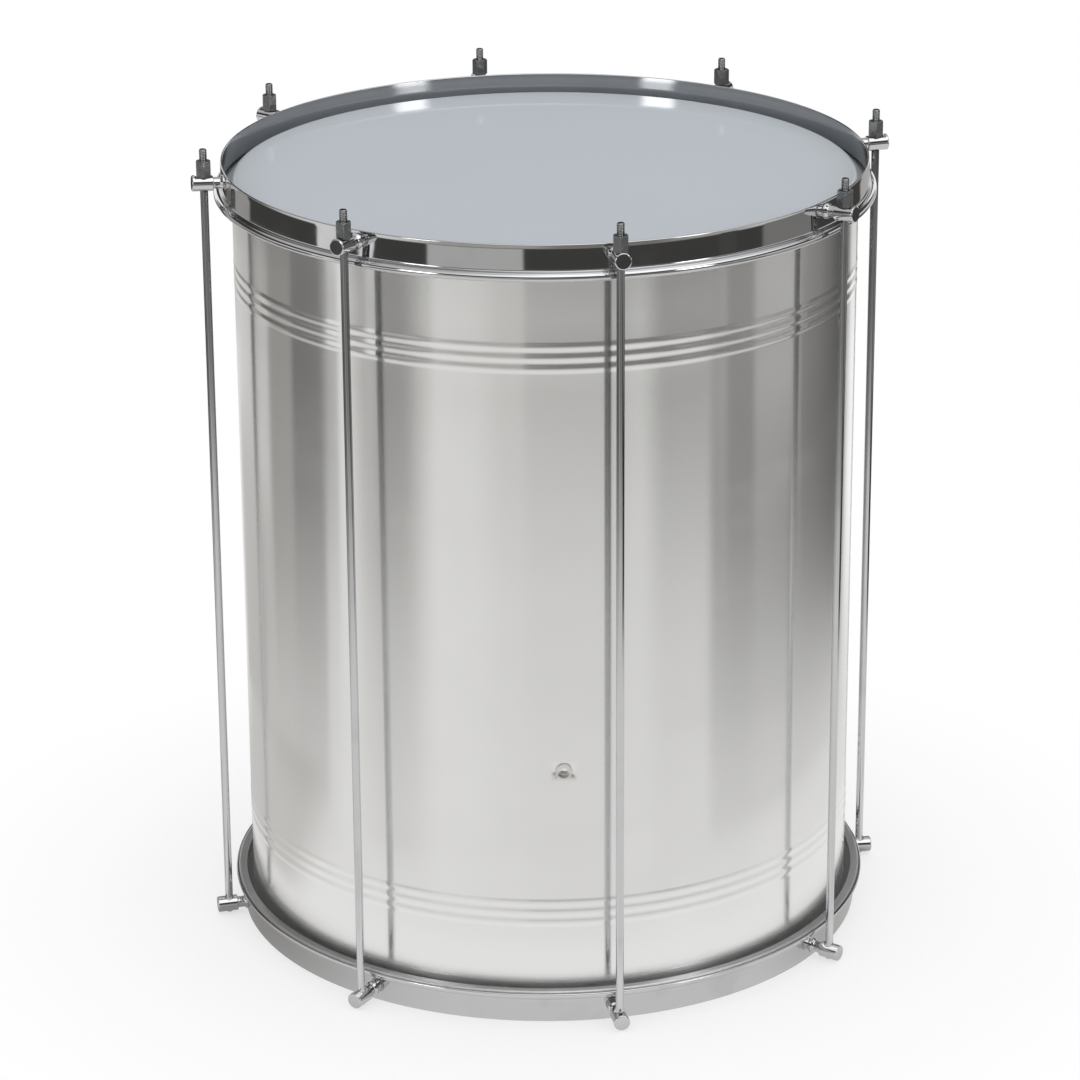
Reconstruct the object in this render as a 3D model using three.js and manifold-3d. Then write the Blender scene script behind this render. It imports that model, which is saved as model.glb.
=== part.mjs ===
// Surdo: a large two-headed bass drum, in millimetres with +Z up.
// The origin is on the floor, on the drum's axis, where the lower hoop's rim stands.
// A rolled sheet shell carries a head at each end. Two flanged hoops press on the heads' flesh
// hoops, and full-length rods with hexagon nuts draw the hoops together.
import * as THREE from 'three';
import { mergeVertices } from 'three/addons/utils/BufferGeometryUtils.js';
import Module from 'manifold-3d';

const wasm = await Module();
wasm.setup();

// Driving sizes of the shell
const shell_outer_r = 250;
const shell_height = 612;
const shell_wall = 1.5;
// The shell's ends roll inwards over this outer radius, which is the bearing edge of the head
const curl_r = 4;
const curl_turn = Math.PI;
// Rolled beads stand out of the shell in one group near each end
const bead_count = 3;
const bead_pitch = 8.6;
const bead_height = 0.4;
const bead_group_from_edge = 76.8;

// Vent in the shell's wall, with its eyelet; the turn is counted from the front rod
const vent_from_top_edge = 413.6;
const vent_turn = THREE.MathUtils.degToRad(-8.9);
const eyelet_bore_r = 2.8;
const eyelet_barrel_wall = 1.2;
const eyelet_crown_reach = 0.6;
const eyelet_flange_reach = 2.7;
const eyelet_flange_t = 1.3;
const eyelet_clinch_reach = 1.6;
const eyelet_clinch_t = 0.8;

// Heads: a film that bears on the shell's edge and is held in a channelled flesh hoop
const film_t = 0.3;
const collar_depth = 9.6;
const shell_to_flesh_gap = 5.3;
const flesh_width = 7.1;
const flesh_height = 6.3;
const flesh_corner_share = 2 / 3;
const flesh_slot_inset = 1.7;
const flesh_slot_depth = 3.3;

// Hoops: rolled from one strip, with a straight wall that carries the lugs, a shoulder and a lip
const hoop_sheet = 1.6;
const shoulder_inner_bend_r = 2.8;
const shoulder_outer_bend_r = 2.6;
const lip_height = 0.7;

// Rods: studding that runs the whole height of the drum
const rod_r = 3.175;
const rod_clear_of_lip = 6.025;
const rod_tip_above_nut = 9.3;
const rod_end_above_floor = 1.1;
const rod_chamfer = 0.8;

// Lugs: round studs on a neck that stand out of the hoops, cross-drilled for the rods
const lug_count = 8;
const lug_wall = 3.025;
const lug_before_hole = 3.525;
const lug_past_hole = 6.525;
const lug_neck_r = 4.6;
const lug_chamfer = 0.9;
const lug_clear_of_rim = 2.1;
const lug_clear_of_shoulder = 4.2;
const spot_face_depth = 1;
const spot_face_margin = 0.9;

// Tall hexagon nuts
const nut_wall = 2.075;
const nut_height = 13;
const nut_chamfer = 0.9;

// Clearances: between pieces that touch, and how far a cutting tool runs past its work
const fit_gap = 0.3;
const cut_overrun = 5;

// Facets round the drum, round a stud, round a rod and along each bend
const drum_facets = 48;
const stud_facets = 12;
const rod_facets = 8;
const curl_steps = 4;
const bend_steps = 2;
const hex_sides = 6;

// A polygon's flats lie nearer its axis than its corners, by this share of its radius
const flatShare = (facets) => Math.cos(Math.PI / facets);

// Places that follow from the sizes. Heights named below_rim count from a hoop's rim inwards.
const bored_r = rod_r + fit_gap;
const lug_r = bored_r + lug_wall;
const nut_flat_r = bored_r + nut_wall;
const nut_corner_r = nut_flat_r / flatShare(hex_sides);
const lug_below_rim = lug_clear_of_rim + lug_r;
const hoop_wall_height = lug_below_rim + lug_r + lug_clear_of_shoulder;
const shoulder_below_rim = hoop_wall_height + shoulder_inner_bend_r;
const hoop_height = shoulder_below_rim + shoulder_outer_bend_r + lip_height;
const flesh_below_rim = shoulder_below_rim + hoop_sheet / 2 + fit_gap;
const edge_below_rim = flesh_below_rim - collar_depth + film_t + fit_gap;
const rim_to_rim = 2 * edge_below_rim + shell_height;

const flesh_inner_r = shell_outer_r + shell_to_flesh_gap;
const flesh_outer_r = flesh_inner_r + flesh_width;
const flesh_slot_r = flesh_inner_r + flesh_slot_inset;
const lip_r = flesh_outer_r + fit_gap + hoop_sheet / 2;
const wall_r = lip_r - shoulder_inner_bend_r - shoulder_outer_bend_r;
const rod_circle_r = lip_r + hoop_sheet / 2 + rod_clear_of_lip + rod_r;

const nut_seat_z = rim_to_rim - lug_below_rim + lug_r - spot_face_depth;
const nut_top_z = nut_seat_z + fit_gap + nut_height;

const point = (r, z) => new THREE.Vector2(r, z);

// Points of an arc in a profile, both ends included
function arc(centre, radius, from, to, steps) {
  const points = [];
  for (let i = 0; i <= steps; i += 1) {
    const a = from + ((to - from) * i) / steps;
    points.push(point(centre.x + radius * Math.cos(a), centre.y + radius * Math.sin(a)));
  }
  return points;
}

// Outline of a bent sheet: its centre line moved half the thickness to either side
function sheetOutline(line, thickness) {
  const one_side = [];
  const other_side = [];
  line.forEach((at, i) => {
    const before = line[Math.max(i - 1, 0)];
    const after = line[Math.min(i + 1, line.length - 1)];
    const into = at.clone().sub(before).normalize();
    const away = after.clone().sub(at).normalize();
    const along = into.add(away).normalize();
    const side = point(along.y, -along.x).multiplyScalar(thickness / 2);
    one_side.push(at.clone().add(side));
    other_side.push(at.clone().sub(side));
  });
  return [...one_side, ...other_side.reverse()];
}

// Takes a profile whose heights are depths below a rim to the lower or the upper end of the drum
function atEnd(outline, is_top) {
  return outline.map((p) => point(p.x, is_top ? rim_to_rim - p.y : p.y));
}

// Leaves only positions, joins shared corners and drops triangles that the axis shrinks to nothing
function closedGeometry(geometry) {
  geometry.deleteAttribute('normal');
  geometry.deleteAttribute('uv');
  const merged = mergeVertices(geometry);
  const index = merged.index.array;
  const kept = [];
  for (let i = 0; i < index.length; i += 3) {
    const [a, b, c] = index.slice(i, i + 3);
    if (a !== b && b !== c && c !== a) kept.push(a, b, c);
  }
  merged.setIndex(kept);
  return merged;
}

// Turns an outline about the Y axis, its facets' middles in line with the Z axis.
// An outline that reaches the axis starts and ends there, and a ring's outline closes on itself.
function turnedAboutY(outline, facets) {
  const ordered = THREE.ShapeUtils.isClockWise(outline) ? [...outline].reverse() : outline;
  const first = ordered.findIndex((p, i) => p.x === 0 && ordered.at(i - 1).x === 0);
  const start = Math.max(first, 0);
  const profile = [...ordered.slice(start), ...ordered.slice(0, start)];
  if (first < 0) profile.push(profile[0].clone());
  return closedGeometry(new THREE.LatheGeometry(profile, facets, -Math.PI / facets));
}

// Turns an outline about the drum's upright axis, its facets' middles in line with the Y axis
function turned(outline, facets = drum_facets) {
  return turnedAboutY(outline, facets).rotateX(Math.PI / 2);
}

// Outline of a round bar, with a chamfer at chosen ends
function barOutline(radius, low, high, low_chamfer = 0, high_chamfer = 0) {
  const outline = [point(0, low), point(radius - low_chamfer, low)];
  if (low_chamfer > 0) outline.push(point(radius, low + low_chamfer));
  if (high_chamfer > 0) outline.push(point(radius, high - high_chamfer));
  outline.push(point(radius - high_chamfer, high), point(0, high));
  return outline;
}

function toSolid(geometry) {
  const vertProperties = new Float32Array(geometry.attributes.position.array);
  const triVerts = new Uint32Array(geometry.index.array);
  return new wasm.Manifold(new wasm.Mesh({ numProp: 3, vertProperties, triVerts }));
}

function toGeometry(solid) {
  const { vertProperties, triVerts } = solid.getMesh();
  const geometry = new THREE.BufferGeometry();
  geometry.setAttribute('position', new THREE.BufferAttribute(new Float32Array(vertProperties), 3));
  geometry.setIndex([...triVerts]);
  return geometry;
}

// Centre line of the shell's wall, from the rolled lower edge up to the rolled upper edge
function shellLine() {
  const line_r = shell_outer_r - shell_wall / 2;
  const roll_r = curl_r - shell_wall / 2;
  const low_roll = point(line_r - roll_r, edge_below_rim + curl_r);
  const high_roll = point(line_r - roll_r, edge_below_rim + shell_height - curl_r);
  const beads = (middle) => {
    const points = [];
    for (let i = -bead_count; i <= bead_count; i += 1) {
      const is_crest = (i + bead_count) % 2 === 1;
      points.push(point(line_r + (is_crest ? bead_height : 0), middle + (i * bead_pitch) / 2));
    }
    return points;
  };
  return [
    ...arc(low_roll, roll_r, -curl_turn, 0, curl_steps),
    ...beads(edge_below_rim + bead_group_from_edge),
    ...beads(edge_below_rim + shell_height - bead_group_from_edge),
    ...arc(high_roll, roll_r, 0, curl_turn, curl_steps),
  ];
}

// Turns a piece that was drawn at the front, at floor height, to the vent's place
function atVent(geometry) {
  const vent_z = edge_below_rim + shell_height - vent_from_top_edge;
  return geometry.rotateZ(vent_turn).translate(0, 0, vent_z);
}

function shellGeometry() {
  const wall = toSolid(turned(sheetOutline(shellLine(), shell_wall)));
  const hole_r = (eyelet_bore_r + eyelet_barrel_wall + fit_gap) / flatShare(stud_facets);
  const outside = -shell_outer_r - cut_overrun;
  const inside = -shell_outer_r + shell_wall + cut_overrun;
  const drill = atVent(turnedAboutY(barOutline(hole_r, outside, inside), stud_facets));
  return toGeometry(wall.subtract(toSolid(drill)));
}

// The eyelet: a crowned flange outside, a barrel through the wall and a clinched flange inside
function eyeletGeometry() {
  const barrel_r = eyelet_bore_r + eyelet_barrel_wall;
  const outer_seat = shell_outer_r + fit_gap;
  const inner_seat = (shell_outer_r - shell_wall) * flatShare(drum_facets) - fit_gap;
  const outline = [
    point(eyelet_bore_r, -inner_seat + eyelet_clinch_t),
    point(barrel_r + eyelet_clinch_reach, -inner_seat + eyelet_clinch_t),
    point(barrel_r + eyelet_clinch_reach, -inner_seat),
    point(barrel_r, -inner_seat),
    point(barrel_r, -outer_seat),
    point(barrel_r + eyelet_flange_reach, -outer_seat),
    point(barrel_r + eyelet_flange_reach, -outer_seat - eyelet_flange_t / 3),
    point(barrel_r + eyelet_crown_reach, -outer_seat - eyelet_flange_t),
    point(eyelet_bore_r, -outer_seat - eyelet_flange_t / 2),
  ];
  return atVent(turnedAboutY(outline, stud_facets));
}

// Centre line of a head's film: flat, bent once over the shell's edge, then down a sloping
// collar into the flesh hoop's slot. Both runs stay clear of the rolled edge's circle.
function filmLine() {
  const clear_r = curl_r + fit_gap + film_t / 2;
  const roll = point(shell_outer_r - curl_r, edge_below_rim + curl_r);
  const mouth = point(flesh_slot_r, flesh_below_rim - fit_gap);
  const reach = mouth.clone().sub(roll);
  const from_flat = Math.PI / 2 + Math.atan2(reach.y, reach.x) - Math.acos(clear_r / reach.length());
  const corner = roll.clone().add(point(clear_r * Math.tan(from_flat / 2), -clear_r));
  const tucked = point(flesh_slot_r, flesh_below_rim + flesh_slot_depth - fit_gap);
  return [point(0, corner.y), corner, mouth, tucked];
}

function filmGeometry(is_top) {
  return turned(atEnd(sheetOutline(filmLine(), film_t), is_top));
}

// A flesh hoop: a bar bent into a ring, with a slot that grips the film's edge and one corner
// cut back to clear the bend of the hoop that presses on it
function fleshHoopGeometry(is_top) {
  const slot_half = film_t / 2 + fit_gap;
  const corner_cut = flesh_corner_share * (shoulder_outer_bend_r - hoop_sheet / 2);
  const outline = [
    point(flesh_inner_r, flesh_below_rim),
    point(flesh_slot_r - slot_half, flesh_below_rim),
    point(flesh_slot_r - slot_half, flesh_below_rim + flesh_slot_depth),
    point(flesh_slot_r + slot_half, flesh_below_rim + flesh_slot_depth),
    point(flesh_slot_r + slot_half, flesh_below_rim),
    point(flesh_outer_r - corner_cut, flesh_below_rim),
    point(flesh_outer_r, flesh_below_rim + corner_cut),
    point(flesh_outer_r, flesh_below_rim + flesh_height),
    point(flesh_inner_r, flesh_below_rim + flesh_height),
  ];
  return turned(atEnd(outline, is_top));
}

// A hoop: straight wall from the rim, a bend outwards, a bend back and the lip
function hoopGeometry(is_top) {
  const outwards = point(wall_r + shoulder_inner_bend_r, hoop_wall_height);
  const back = point(outwards.x, shoulder_below_rim + shoulder_outer_bend_r);
  const line = [
    point(wall_r, 0),
    ...arc(outwards, shoulder_inner_bend_r, Math.PI, Math.PI / 2, bend_steps),
    ...arc(back, shoulder_outer_bend_r, -Math.PI / 2, 0, bend_steps).slice(1),
    point(lip_r, hoop_height),
  ];
  return turned(atEnd(sheetOutline(line, hoop_sheet), is_top));
}

// An upright clearance hole for a rod, as the solid that cuts it
function rodHole(low, high) {
  const outline = barOutline(bored_r / flatShare(rod_facets), low - cut_overrun, high + cut_overrun);
  return turned(outline, rod_facets);
}

// A lug stands on a flat of the hoop's wall and points out along -Y, its rod hole upright.
// The upper one has a flat milled for the nut.
function lugGeometry(is_top) {
  const root = -(wall_r + hoop_sheet / 2) * flatShare(drum_facets) - fit_gap;
  const head = -rod_circle_r + bored_r + lug_before_hole;
  const end = -rod_circle_r - bored_r - lug_past_hole;
  const height = is_top ? rim_to_rim - lug_below_rim : lug_below_rim;
  const outline = [
    point(0, end),
    point(lug_r - lug_chamfer, end),
    point(lug_r, end + lug_chamfer),
    point(lug_r, head),
    point(lug_neck_r, head),
    point(lug_neck_r, root),
    point(0, root),
  ];
  const stud = turnedAboutY(outline, stud_facets).translate(0, 0, height);
  const hole = rodHole(height - lug_r, height + lug_r).translate(0, -rod_circle_r, 0);
  const drilled = toSolid(stud).subtract(toSolid(hole));
  if (!is_top) return toGeometry(drilled);
  const mill_r = nut_corner_r + spot_face_margin;
  const mill = turned(barOutline(mill_r, nut_seat_z, nut_seat_z + cut_overrun), stud_facets);
  return toGeometry(drilled.subtract(toSolid(mill.translate(0, -rod_circle_r, 0))));
}

function rodGeometry() {
  const tip_z = nut_top_z + rod_tip_above_nut;
  const rod_outline = barOutline(rod_r, rod_end_above_floor, tip_z, 0, rod_chamfer);
  return turned(rod_outline, rod_facets).translate(0, -rod_circle_r, 0);
}

// A tall hexagon nut drawn about its own bore, the corners of its top turned off
function nutGeometry() {
  const low = nut_seat_z + fit_gap;
  const hexagon = toSolid(turned(barOutline(nut_corner_r, low, nut_top_z), hex_sides));
  const blank_r = nut_corner_r / flatShare(stud_facets);
  const top_r = nut_corner_r - nut_chamfer;
  const blank_outline = barOutline(blank_r, low - cut_overrun, nut_top_z, 0, blank_r - top_r);
  const blank = toSolid(turned(blank_outline, stud_facets));
  return toGeometry(hexagon.intersect(blank).subtract(toSolid(rodHole(low, nut_top_z))));
}

const finish = (color, roughness, metalness) => () =>
  new THREE.MeshStandardMaterial({ color, roughness, metalness });
const polished_aluminium = finish(0xc9cacb, 0.18, 1);
const bright_aluminium = finish(0xb4b6b8, 0.3, 1);
const chrome = finish(0xbfc1c4, 0.06, 1);
const zinc_plate = finish(0x8f9294, 0.25, 1);
const nickel_plate = finish(0xa9aaa6, 0.15, 1);
const milky_film = finish(0xc3c8cf, 0.25, 0);

function addPiece(parent, name, geometry, finishOf) {
  const piece = new THREE.Mesh(geometry, finishOf());
  piece.name = name;
  parent.add(piece);
  return piece;
}

const drum = new THREE.Group();
addPiece(drum, 'shell', shellGeometry(), polished_aluminium);
addPiece(drum, 'vent_eyelet', eyeletGeometry(), nickel_plate);
addPiece(drum, 'batter_head', filmGeometry(true), milky_film);
addPiece(drum, 'batter_flesh_hoop', fleshHoopGeometry(true), bright_aluminium);
addPiece(drum, 'resonant_head', filmGeometry(false), milky_film);
addPiece(drum, 'resonant_flesh_hoop', fleshHoopGeometry(false), bright_aluminium);
addPiece(drum, 'top_hoop', hoopGeometry(true), chrome);
addPiece(drum, 'bottom_hoop', hoopGeometry(false), chrome);

// One station for each rod, counted from the front towards the drum's +X side
const top_lug = lugGeometry(true);
const bottom_lug = lugGeometry(false);
const rod = rodGeometry();
const nut = nutGeometry();
for (let i = 0; i < lug_count; i += 1) {
  const station = new THREE.Group();
  station.rotation.z = (2 * Math.PI * i) / lug_count;
  addPiece(station, `top_lug_${i + 1}`, top_lug.clone(), chrome);
  addPiece(station, `bottom_lug_${i + 1}`, bottom_lug.clone(), chrome);
  addPiece(station, `tension_rod_${i + 1}`, rod.clone(), chrome);
  addPiece(station, `tuning_nut_${i + 1}`, nut.clone(), zinc_plate).position.y = -rod_circle_r;
  drum.add(station);
}

export default drum;
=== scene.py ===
"""Looks of a tall two-headed drum with a polished metal shell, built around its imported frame.

Every place is in the frame of the solids: +Z up, the floor at zero, the front lug towards -Y.
"""

import math

import bmesh
import bpy
import numpy as np
from bpy.props import FloatProperty, FloatVectorProperty, IntProperty, PointerProperty
from mathutils import Matrix, Vector


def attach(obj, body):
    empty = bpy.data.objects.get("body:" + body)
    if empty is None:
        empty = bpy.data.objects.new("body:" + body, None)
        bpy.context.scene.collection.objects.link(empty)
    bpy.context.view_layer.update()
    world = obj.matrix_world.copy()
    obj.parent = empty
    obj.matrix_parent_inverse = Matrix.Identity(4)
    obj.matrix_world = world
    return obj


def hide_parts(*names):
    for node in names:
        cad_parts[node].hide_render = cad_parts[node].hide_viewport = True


bl_info = {
    "name": "Tall Metal Drum",
    "version": (1, 0, 0),
    "blender": (4, 5, 0),
    "location": "View3D > Sidebar > Drum",
    "description": "Builds a two-headed metal drum with rod tuning, and the studio that it stands in",
    "category": "Object",
}

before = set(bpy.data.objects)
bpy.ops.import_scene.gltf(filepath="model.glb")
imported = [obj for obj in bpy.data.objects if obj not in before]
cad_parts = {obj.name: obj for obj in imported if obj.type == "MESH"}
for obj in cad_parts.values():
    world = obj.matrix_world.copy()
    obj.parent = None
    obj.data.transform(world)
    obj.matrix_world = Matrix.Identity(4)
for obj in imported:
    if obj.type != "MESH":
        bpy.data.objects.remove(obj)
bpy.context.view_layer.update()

MM = 0.001
STATIONS = range(1, 9)

# Columns of a piece turned round the drum, and points of a bent sheet's half-round edge
COLUMNS = 288
EDGE_POINTS = 7
# Each end's name, the body that its hoop rides on, and its head's name
ENDS = (("top", "top_hoop", "batter"), ("bottom", "drum", "resonant"))
# Points nearer than this are one, and edges that bend more than this stay sharp
SAME_PLACE = 1e-7
SHARP_BEND = math.radians(34)


def length(mm, name, description):
    """A length property, its default given in millimetres."""
    return FloatProperty(name=name, description=description, default=mm * MM, unit="LENGTH", precision=5)


def colour(values, name, description):
    """A colour property."""
    return FloatVectorProperty(
        name=name, description=description, default=values, subtype="COLOR", size=3, min=0, max=1
    )


def amount(value, name, description):
    """A plain number property."""
    return FloatProperty(name=name, description=description, default=value, precision=4)


def turn(degrees, name, description):
    """An angle property, its default given in degrees."""
    return FloatProperty(name=name, description=description, default=math.radians(degrees), subtype="ANGLE")


class DrumSizes(bpy.types.PropertyGroup):
    """Lengths and angles of the drum. Depths below a rim hold at both ends."""

    rim_to_rim: length(640.4, "Rim to rim", "Height from the lower hoop's rim to the upper hoop's rim")
    shell_r: length(250, "Shell radius", "Outer radius of the shell's plain wall")
    shell_wall: length(1.5, "Shell wall", "Thickness of the shell's sheet")
    shell_depth: length(14.2, "Shell edge depth", "How far the shell's rolled edge lies below a rim")
    curl_r: length(4, "Rolled edge radius", "Outer radius of the shell's rolled edges")
    bead_pitch: length(8.6, "Ridge pitch", "Distance from one ridge to the next")
    bead_height: length(0.25, "Ridge height", "How far a ridge stands out from the wall")
    bead_depth: length(91, "Ridge depth", "Depth of the middle ridge below a rim")
    bead_count: IntProperty(name="Ridges", description="Number of ridges near each end", default=3, min=1)
    vent_height: length(212.6, "Vent height", "Height of the vent above the floor")
    vent_angle: turn(-98.9, "Vent angle", "Direction of the vent, counted from +X")
    vent_hole_r: length(4.3, "Vent hole radius", "Radius of the hole in the shell")
    hoop_sheet: length(1.6, "Hoop sheet", "Thickness of the hoops' sheet")
    hoop_wall_r: length(258.1, "Hoop wall radius", "Radius of the hoop wall's middle line")
    hoop_draft: length(0.65, "Hoop draft", "How much narrower the wall is at the rim than at its foot")
    hoop_lip_r: length(263.5, "Hoop lip radius", "Radius of the lip's middle line")
    hoop_shoulder: length(22.1, "Shoulder depth", "Depth of the shoulder's middle line below the rim")
    hoop_height: length(26.5, "Hoop height", "Depth of the lip's edge below the rim")
    hoop_inner_bend: length(2.8, "Wall bend", "Radius of the bend from the wall to the shoulder")
    hoop_outer_bend: length(2.6, "Lip bend", "Radius of the bend from the shoulder to the lip")
    dent_depth: length(0.22, "Lug dent depth", "How far the wall is drawn in where a lug is fastened")
    dent_reach: length(11, "Lug dent reach", "How far the drawn place spreads to each side")
    flesh_inner_r: length(255.3, "Flesh hoop inner radius", "Inner radius of the flesh hoops")
    flesh_outer_r: length(262.4, "Flesh hoop outer radius", "Outer radius of the flesh hoops")
    flesh_depth: length(23.2, "Flesh hoop depth", "Depth of the flesh hoop's pressed face below the rim")
    flesh_height: length(4.9, "Flesh hoop height", "Height of the flesh hoops")
    flesh_slot_r: length(257, "Slot radius", "Radius of the slot that grips the film")
    flesh_slot_half: length(0.45, "Slot half width", "Half the width of the slot")
    flesh_slot_depth: length(3.3, "Slot depth", "Depth of the slot")
    film_sheet: length(0.3, "Film thickness", "Thickness of the heads")
    film_depth: length(13.75, "Film depth", "Depth of the film's middle below the rim")
    film_corner_r: length(247.3, "Film corner radius", "Radius at which the film bends down to its collar")
    film_bend: length(4.2, "Film bend", "Radius of the film's bend over the shell's edge")
    rod_r: length(3.175, "Rod radius", "Radius of the rods' plain part and thread crests")
    rod_circle_r: length(273.5, "Rod circle radius", "Distance of the rods from the drum's axis")
    rod_low: length(1.1, "Rod foot", "Height of the rods' lower end")
    rod_high: length(659.9, "Rod tip", "Height of the rods' upper end")
    thread_low: length(627, "Thread start", "Height at which a rod's thread starts")
    thread_pitch: length(1.27, "Thread pitch", "Rise of the thread in one turn")
    thread_depth: length(0.35, "Thread depth", "Depth of the thread's groove")
    lug_r: length(6.5, "Lug radius", "Radius of a lug's head")
    lug_neck_r: length(4.6, "Lug neck radius", "Radius of a lug's neck")
    lug_depth: length(8.6, "Lug depth", "Depth of a lug's middle below the rim")
    lug_head: length(266.5, "Lug head start", "Distance from the axis at which a lug's head starts")
    lug_end: length(283.2, "Lug end", "Distance of a lug's outer face from the axis")
    lug_root: length(258.3, "Lug root", "Distance from the axis of a lug's root, inside the hoop's sheet")
    lug_tilt: turn(2, "Lug tilt", "How far a lug leans towards its rim, square to the hoop's wall")
    lug_hole_r: length(3.5, "Lug hole radius", "Radius of the hole that a rod passes through")
    lug_flat: length(5.5, "Lug flat", "Height of the milled flat above a lug's middle")
    lug_flat_reach: length(7.3, "Lug flat reach", "How far the flat runs to each side of the rod")
    nut_low: length(637.6, "Nut foot", "Height of the nuts' lower face")
    nut_high: length(650.6, "Nut top", "Height of the nuts' upper face")
    nut_flats: length(11.1, "Nut across flats", "Width of the nuts across their flats")
    nut_bore_r: length(3.5, "Nut bore radius", "Radius of the nuts' hole")


class DrumFinishes(bpy.types.PropertyGroup):
    """Colours and gloss of the drum's finishes."""

    aluminium: colour((0.9, 0.9, 0.892), "Polished aluminium", "Colour of the shell")
    aluminium_gloss: amount(0.15, "Shell roughness", "Roughness of the shell's polish")
    bright_aluminium: colour((0.62, 0.625, 0.63), "Bright aluminium", "Colour of the flesh hoops")
    chrome: colour((0.655, 0.66, 0.672), "Chrome", "Colour of the hoops, lugs and rods")
    chrome_gloss: amount(0.05, "Chrome roughness", "Roughness of the chrome")
    zinc: colour((0.24, 0.245, 0.25), "Zinc", "Colour of the nuts")
    nickel: colour((0.8, 0.785, 0.75), "Nickel", "Colour of the vent's eyelet")
    film: colour((0.63, 0.672, 0.72), "Milky film", "Colour of the heads")


class StudioSettings(bpy.types.PropertyGroup):
    """Camera, floor and backdrop."""

    camera_at: FloatVectorProperty(
        name="Camera place", description="Where the camera stands", default=(-0.64282, -3.10679, 1.50309),
        subtype="TRANSLATION", unit="LENGTH", size=3,
    )
    camera_aim: FloatVectorProperty(
        name="Camera aim", description="Point that the camera looks at", default=(-0.00562, 0.00115, 0.31073),
        subtype="TRANSLATION", unit="LENGTH", size=3,
    )
    camera_roll: turn(-0.342, "Camera roll", "How far the camera leans")
    lens: amount(136.947, "Lens", "Focal length on a sensor 36 mm wide")
    floor_r: length(30000, "Floor radius", "Radius of the floor")
    mirrored_r: length(600, "Mirrored floor radius", "Radius of the part of the floor that the metal mirrors")
    floor_glow: amount(0.6, "Floor glow", "Share of the floor's white that needs no light")
    surround_r: length(9000, "Surround radius", "Radius of the surround that the metal mirrors")


class Value:
    """A number or colour inside a material. Sums and products of values add Math nodes."""

    def __init__(self, material, socket):
        self.material = material
        self.socket = socket

    def math(self, operation, *terms):
        return self.material.node("ShaderNodeMath", {"operation": operation}, dict(enumerate(terms)))

    def __add__(self, other):
        return self.math("ADD", self, other)

    def __rsub__(self, other):
        return self.math("SUBTRACT", other, self)

    def __mul__(self, other):
        return self.math("MULTIPLY", self, other)

    __radd__ = __add__
    __rmul__ = __mul__


class Finish:
    """A material that is written as sums of values on its principled shader."""

    def __init__(self, name):
        self.material = bpy.data.materials.new(name)
        self.material.use_nodes = True
        self.tree = self.material.node_tree
        self.shader = self.tree.nodes["Principled BSDF"]

    def node(self, kind, settings=None, inputs=None, output=0):
        """Adds a node: its settings first, then a constant or a link for each socket named."""
        node = self.tree.nodes.new(kind)
        for key, value in (settings or {}).items():
            setattr(node, key, value)
        for key, value in (inputs or {}).items():
            self.give(node.inputs[key], value)
        return Value(self, node.outputs[output])

    def give(self, socket, value):
        """Sets a socket to a constant, or links a value to it."""
        if isinstance(value, Value):
            self.tree.links.new(value.socket, socket)
        else:
            socket.default_value = value

    def set(self, **inputs):
        """Sets or links sockets of the principled shader, with _ for a space in their names."""
        for key, value in inputs.items():
            self.give(self.shader.inputs[key.replace("_", " ")], value)

    def place(self):
        """The point on the piece, in metres in the drum's frame."""
        return self.node("ShaderNodeTexCoord", output="Object")

    def height(self):
        """Height above the floor in metres."""
        return self.node("ShaderNodeSeparateXYZ", inputs={0: self.place()}, output="Z")

    def from_axis(self):
        """Distance from the drum's axis in metres."""
        flat = self.node("ShaderNodeMapping", inputs={"Vector": self.place(), "Scale": (1, 1, 0)})
        return self.node("ShaderNodeVectorMath", {"operation": "LENGTH"}, {0: flat}, output="Value")

    def noise(self, scale, detail=2.0, stretch=(1, 1, 1)):
        """Smooth noise from 0 to 1 whose pattern repeats about scale times in a metre, times the stretch."""
        size = tuple(scale * s for s in stretch)
        at = self.node("ShaderNodeMapping", inputs={"Vector": self.place(), "Scale": size})
        inputs = {"Vector": at, "Scale": 1.0, "Detail": detail}
        return self.node("ShaderNodeTexNoise", inputs=inputs, output="Fac")

    def between(self, value, low, high):
        """0 where the value is at low or past it, 1 at high, with soft ends."""
        ends = {"Value": value, "From Min": low, "From Max": high}
        return self.node("ShaderNodeMapRange", {"interpolation_type": "SMOOTHSTEP"}, ends)

    def mix(self, share, one, other):
        """A colour that goes from one to the other as share goes from 0 to 1."""
        return self.node("ShaderNodeMix", {"data_type": "RGBA"}, {0: share, 6: one, 7: other}, output=2)

    def relief(self, height):
        """Shades the surface as if it stood out by that height in metres."""
        self.set(Normal=self.node("ShaderNodeBump", inputs={"Height": height, "Distance": 1.0}))


def tint(rgb, share):
    """A colour made lighter or darker, with an alpha of one."""
    return (*(min(1.0, c * share) for c in rgb), 1.0)


def polished_aluminium(it, finishes):
    """Rolled sheet polished almost to a mirror: faint lines around it, clouds, wipe marks and long waves. Its
    foot is rougher, and painted shade darkens its colour there, next to the hoop."""
    lines = it.noise(1, 3, (9, 9, 2600))
    clouds = it.noise(11)
    wipes = it.between(it.noise(5, 4, (1, 1, 2.6)), 0.52, 0.72)
    # painted shade: the shell's colour darkens towards its foot, next to the hoop, where it is also rougher
    bright_from, dull_and_shaded_below = 42 * MM, 22 * MM
    foot = it.between(it.height(), bright_from, dull_and_shaded_below)
    base = finishes.aluminium
    polish = it.mix(clouds * 0.7 + lines * 0.3, tint(base, 0.955), tint(base, 1.03))
    it.set(
        Base_Color=it.mix(foot, polish, tint(base, 0.8)),
        Metallic=1.0,
        Roughness=finishes.aluminium_gloss + lines * 0.02 + wipes * 0.02 + foot * 0.2,
        Anisotropic=0.8,
        Anisotropic_Rotation=0.25,
    )
    it.relief(it.noise(5.5, 1) * 0.00009)


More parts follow.
